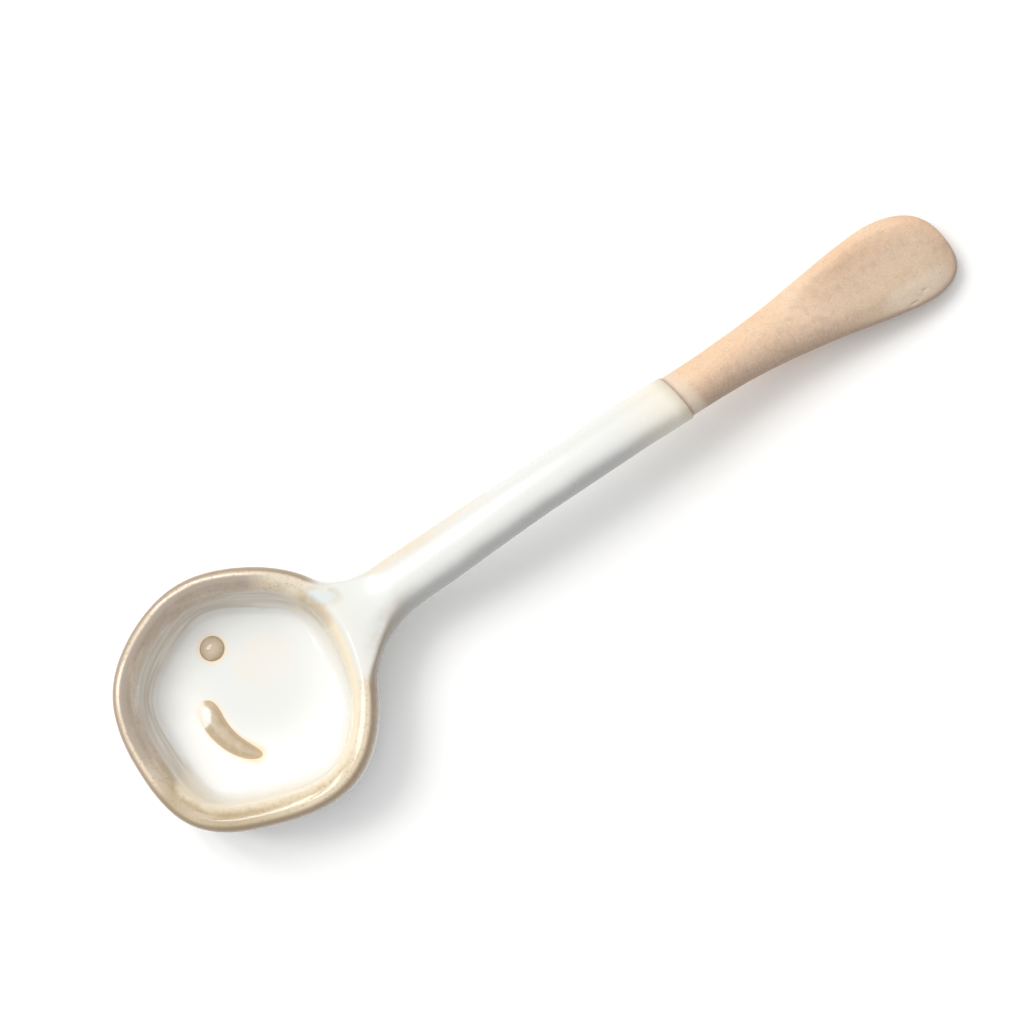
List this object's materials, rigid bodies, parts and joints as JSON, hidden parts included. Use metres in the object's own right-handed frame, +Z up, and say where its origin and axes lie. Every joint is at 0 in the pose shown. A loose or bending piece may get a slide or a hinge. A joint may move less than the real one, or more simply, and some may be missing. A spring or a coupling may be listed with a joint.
{
  "type": "serving spoon",
  "caption": "Hand-built ceramic serving spoon with a softly faceted round bowl, an arched glazed stem and a flattened bare-clay grip.",
  "frame": {"origin": "centre of the flat foot under the bowl, on the table", "axes": "+X along the handle from the bowl to the tip, +Y to the left of the handle, +Z up out of the bowl"},
  "size_m": [0.1804, 0.0501, 0.0191],
  "materials": {
    "clay": "bare fired buff clay, matte and finely speckled",
    "slip": "fired slip, matte",
    "white_glaze": "gloss white glaze, breaking to tan where it runs thin",
    "tan_glaze": "gloss tan glaze"
  },
  "bodies": {
    "root": {"bowl": "clay", "luting_slip": "slip", "handle": "clay", "glaze_coat": "white_glaze", "dot": "tan_glaze", "crescent": "tan_glaze"}
  },
  "joints": []
}
